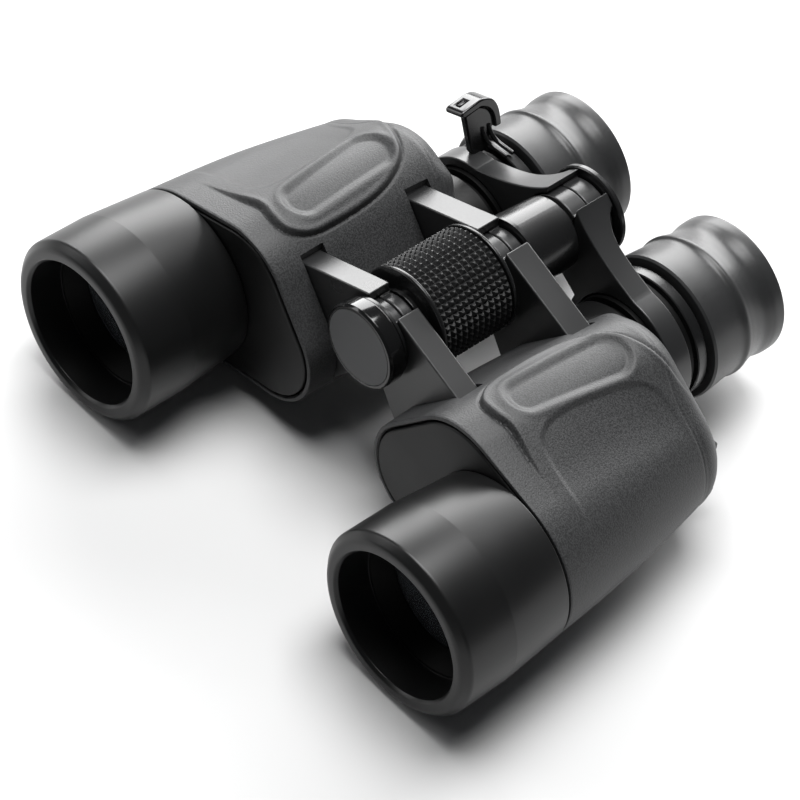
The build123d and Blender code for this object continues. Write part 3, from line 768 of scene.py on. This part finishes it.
def bridge_arm(side, sign, body, own_half):
    """Bridge arm: dished top edge between the knuckle and the ring round the eyepiece."""
    start, end = BRIDGE_ARM
    ring_top = BARREL_Z + OCULAR_RING_R
    top = []
    for t in np.linspace(0, 1, 25):
        x = (1 - t) ** 2 * 5.5 + 2 * t * (1 - t) * 14.0 + t * t * (EYEPIECE_X + 1)
        z = (1 - t) ** 2 * (HINGE_Z + 11.9) + 2 * t * (1 - t) * (HINGE_Z + 3.2)
        z += t * t * (ring_top - 0.03)
        top.append((sign * x, z))
    lower = [(sign * EYEPIECE_X, BARREL_Z), (sign * 14.0, HINGE_Z - 19.0),
             (sign * 2.2, HINGE_Z - 11.2), (sign * 5.5, HINGE_Z)]
    piece = prism_mesh(f"{side}_bridge_arm", top + lower, start, end)
    ring = disc_outline(sign * EYEPIECE_X, BARREL_Z, OCULAR_RING_R, 128)
    cut(piece, prism_mesh("cutter", ring, start, BRIDGE_RING_END), "UNION")
    neck = [(8.5, end + 1), (8.5, end)]
    for t in np.linspace(0, 1, 17)[1:]:
        neck.append((8.5 + 9.5 * t ** 1.6, end - (end - BRIDGE_RING_END) * (1 - (1 - t) ** 1.7)))
    neck += [(60, BRIDGE_RING_END), (60, end + 1)]
    cut(piece, plan_mesh([(sign * x, s) for x, s in neck], -5, 75))
    flange_room = disc_outline(sign * EYEPIECE_X, BARREL_Z, FLANGE_R + 0.4, 128)
    cut(piece, prism_mesh("cutter", flange_room, BRIDGE_RING_END + 0.05, end + 1))
    knuckle(piece, start, end, own_half, BRIDGE_KNUCKLE_R, 6.05)
    hole = disc_outline(sign * EYEPIECE_X, BARREL_Z, COLLAR_R + 0.1, 128)
    cut(piece, prism_mesh("cutter", hole, start - 2, end + 2))
    piece.data.materials.clear()
    piece.data.materials.append(FINISH["arm_paint"])
    bevelled(piece, 0.45)
    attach(piece, body)
    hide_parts(f"{side}_ocular_arm")


def plan_mesh(outline, low, high):
    """Closed prism of an (x, station) outline between two heights, as a bare object."""
    cutter = prism_mesh("cutter", outline, 0, 1)
    points = []
    for z in (low, high):
        points += [Vector((x, RIM_Y + s, z)) * MM for x, s in outline]
    for vertex, point in zip(cutter.data.vertices, points):
        vertex.co = point
    fix = bmesh.new()
    fix.from_mesh(cutter.data)
    bmesh.ops.recalc_face_normals(fix, faces=fix.faces)
    fix.to_mesh(cutter.data)
    fix.free()
    return cutter


# ---------------------------------------------------------------- zoom lever
LEVER_LEAN = radians(21.5)


def lever_place(station, radius, out):
    """Point of the lever: radius from the eyepiece's axis, out from the blade's middle."""
    x = EYEPIECE_X + radius * sin(LEVER_LEAN) + out * cos(LEVER_LEAN)
    z = BARREL_Z + radius * cos(LEVER_LEAN) - out * sin(LEVER_LEAN)
    return (-x, station, z)


def lever_slab(name, outline, inside, outside):
    """Closed slab of a (station, radius) outline across the lever."""
    slab = prism_mesh(name, outline, 0, 1)
    count = len(outline)
    for index, vertex in enumerate(slab.data.vertices):
        station, radius = outline[index % count]
        x, y, z = lever_place(station, radius, inside if index < count else outside)
        vertex.co = Vector((x, RIM_Y + y, z)) * MM
    fix = bmesh.new()
    fix.from_mesh(slab.data)
    bmesh.ops.recalc_face_normals(fix, faces=fix.faces)
    fix.to_mesh(slab.data)
    fix.free()
    return slab


def arc(start, middle, end, steps=10):
    """Curve through three outline points, without its first one."""
    points = []
    for k in range(1, steps + 1):
        t = k / steps
        a = 2 * (t - 0.5) * (t - 1)
        b = -4 * t * (t - 1)
        c = 2 * t * (t - 0.5)
        points.append(tuple(a * p + b * q + c * r for p, q, r in zip(start, middle, end)))
    return points


def zoom_lever():
    """Thumb lever: plate with a thick rim over its top and rear, and two ribs at its foot."""
    crest = (122.6, 36.0)
    heel = (129.2, 28.4)
    rim = [(116.4, 33.0), (115.6, 33.3), (115.2, 34.1), (115.6, 34.9), (116.4, 35.2), crest]
    rim += arc(crest, (127.6, 33.9), heel, 14)
    rim += [(129.1, 25.4), (126.7, 25.4), (126.7, 28.2)]
    rim += arc((126.7, 28.2), (125.6, 31.6), (122.4, 33.7), 14)
    lever = lever_slab("zoom_lever_rim", rim, -2.2, 4.8)
    blade = [(124.4, 19.72), (118.6, 19.72), (117.4, 21.9), (117.0, 33.6), (123.0, 34.6),
             (127.4, 30.6), (126.6, 26.0), (124.4, 22.6)]
    cut(lever, lever_slab("cutter", blade, -1.3, 1.0), "UNION")
    groove = [(117.6, 34.9), (117.6, 37.0), (120.8, 37.0), (120.8, 35.2)]
    cut(lever, lever_slab("cutter", groove, 1.0, 2.8))
    lever.data.materials.clear()
    lever.data.materials.append(FINISH["lever_gloss"])
    bevelled(lever, 0.6, 5, 34)
    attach(lever, "zoom_ring")
    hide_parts("zoom_lever")
    for number, station in enumerate((122.6, 125.0)):
        curve = bpy.data.curves.new(f"lever_rib_{number}", "CURVE")
        curve.dimensions = "3D"
        curve.bevel_depth = 0.7 * MM
        curve.bevel_resolution = 6
        curve.use_fill_caps = True
        path = [(station, 27.0, -1.2), (station, 24.6, -1.5), (station + 0.6, 22.0, -2.2),
                (station + 1.2, 20.6, -4.6), (station + 1.5, 19.2, -8.2)]
        line = curve.splines.new("NURBS")
        line.points.add(len(path) - 1)
        for point, place in zip(line.points, path):
            x, y, z = lever_place(*place)
            point.co = (x * MM, (RIM_Y + y) * MM, z * MM, 1)
        line.order_u = 4
        line.use_endpoint_u = True
        rib = bpy.data.objects.new(f"lever_rib_{number}", curve)
        bpy.context.scene.collection.objects.link(rib)
        curve.materials.append(FINISH["lever_gloss"])
        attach(rib, "zoom_ring")


# ---------------------------------------------------------------- small turned parts
def flowing(knots, steps=6):
    """Outline points along one smooth curve through the knots."""
    ends = [knots[0]] + list(knots) + [knots[-1]]
    points = []
    for k in range(1, len(ends) - 2):
        a, b, c, d = (np.array(knot) for knot in ends[k - 1:k + 3])
        for t in np.arange(steps) / steps:
            place = b + 0.5 * t * (c - a) + t * t * (a - 2.5 * b + 2 * c - 0.5 * d)
            place = place + t ** 3 * (-0.5 * a + 1.5 * b - 1.5 * c + 0.5 * d)
            points.append((float(place[0]), float(place[1]), 0))
    return points + [(*knots[-1], 0)]


def small_parts():
    lathe(
        "socket_cap",
        [(41.5, 0.02, 0), (41.5, 11.35, 0), (40.9, 11.35, 0.1), (40.9, 12.1, 0.25),
         (41.7, 12.6, 0.3), (45.9, 12.6, 0.35), (46.4, 12.1, 0.2), (46.4, 9.6, 0),
         (42.7, 9.6, 0), (42.7, 0.02, 0)],
        0, HINGE_Z, "tripod_cap", "cap_gloss", ["tripod_cap"],
    )
    lathe(
        "wheel_hub",
        [(56.0, 7.05, 0), (87.0, 7.05, 0), (87.0, 9.5, 0.2), (84.3, 9.5, 0),
         (84.3, 15.3, 0.5), (83.9, 15.7, 0.3), (83.1, 15.7, 0.3), (83.1, 13.2, 0),
         (58.5, 13.2, 0), (58.5, 15.7, 0.3), (57.7, 15.7, 0.3), (57.3, 15.3, 0.5),
         (57.3, 9.5, 0), (56.0, 9.5, 0.2)],
        0, HINGE_Z, "focus_wheel", "ring_black", ["focus_wheel_core"],
    )
    outside = flowing([
        (129.6, 22.02), (133.0, 21.75), (137.8, 21.35), (140.7, 21.3), (142.4, 21.85),
        (144.2, 21.4), (147.0, 20.7), (150.0, 20.35), (152.6, 20.8), (154.3, 21.1),
        (156.6, 21.15),
    ])
    for side, sign, body in (("left", 1, "left_eyepiece"), ("right", -1, "right_ocular")):
        lathe(
            f"{side}_eyecup_moulding",
            [(128.9, 17.6, 0), (128.9, 21.5, 0.3)] + outside
            + [(157.4, 21.1, 0.7), (157.4, 19.4, 0.7), (151.8, 19.1, 0.8), (151.2, 14.0, 0.2),
               (150.7, 14.0, 0), (150.7, 16.55, 0), (129.6, 16.55, 0), (129.6, 17.6, 0)],
            sign * EYEPIECE_X, BARREL_Z, body, "eyecup_rubber", [f"{side}_eyecup"],
        )


for SIDE, SIGN in SIDES:
    armour(SIDE, SIGN)
    objective(SIDE, SIGN)
    front_cover(SIDE, SIGN)
    shell(SIDE, SIGN)
    half = 0 if SIDE == "left" else 1
    hinge_arm(f"{SIDE}_front_arm", SIDE, SIGN, FRONT_ARM, half)
    hinge_arm(f"{SIDE}_rear_arm", SIDE, SIGN, REAR_ARM, half)
bridge_arm("left", 1, "bridge", 0)
bridge_arm("right", -1, "right_ocular", 1)
zoom_lever()
small_parts()
focus_grip()


# ---------------------------------------------------------------- stage
def add_floor():
    bpy.ops.mesh.primitive_plane_add(size=8)
    floor = bpy.context.object
    floor.name = "floor"
    n = Nodes("floor", Specular_IOR_Level=0.1)
    dark, pale = (0.3, (0.60, 0.60, 0.60)), (0.7, (0.62, 0.62, 0.62))
    n.link(n.colours(n.noise(2, 2), dark, pale), "Base Color")
    n.link(n.spread(n.noise(5, 2), 0.8, 0.95), "Roughness")
    floor.data.materials.append(n.material)


def add_world():
    world = bpy.data.worlds.new("studio")
    bpy.context.scene.world = world
    world.use_nodes = True
    background = world.node_tree.nodes["Background"]
    background.inputs["Color"].default_value = (0.92, 0.95, 1.0, 1)
    background.inputs["Strength"].default_value = 0.05


paint_frame()
add_camera()
add_world()
add_floor()
add_light("sweep", (-0.75, 1.1, 0.60), (0, 0, 0.02), (1.9, 0.9), 55)
add_light("top", (-0.15, 0.10, 1.25), (0, 0, 0), (0.9, 0.7), 24)
add_light("left", (-1.0, -0.6, 0.55), (0, 0, 0), (0.5, 0.6), 3)
bpy.context.scene.view_settings.view_transform = "Standard"
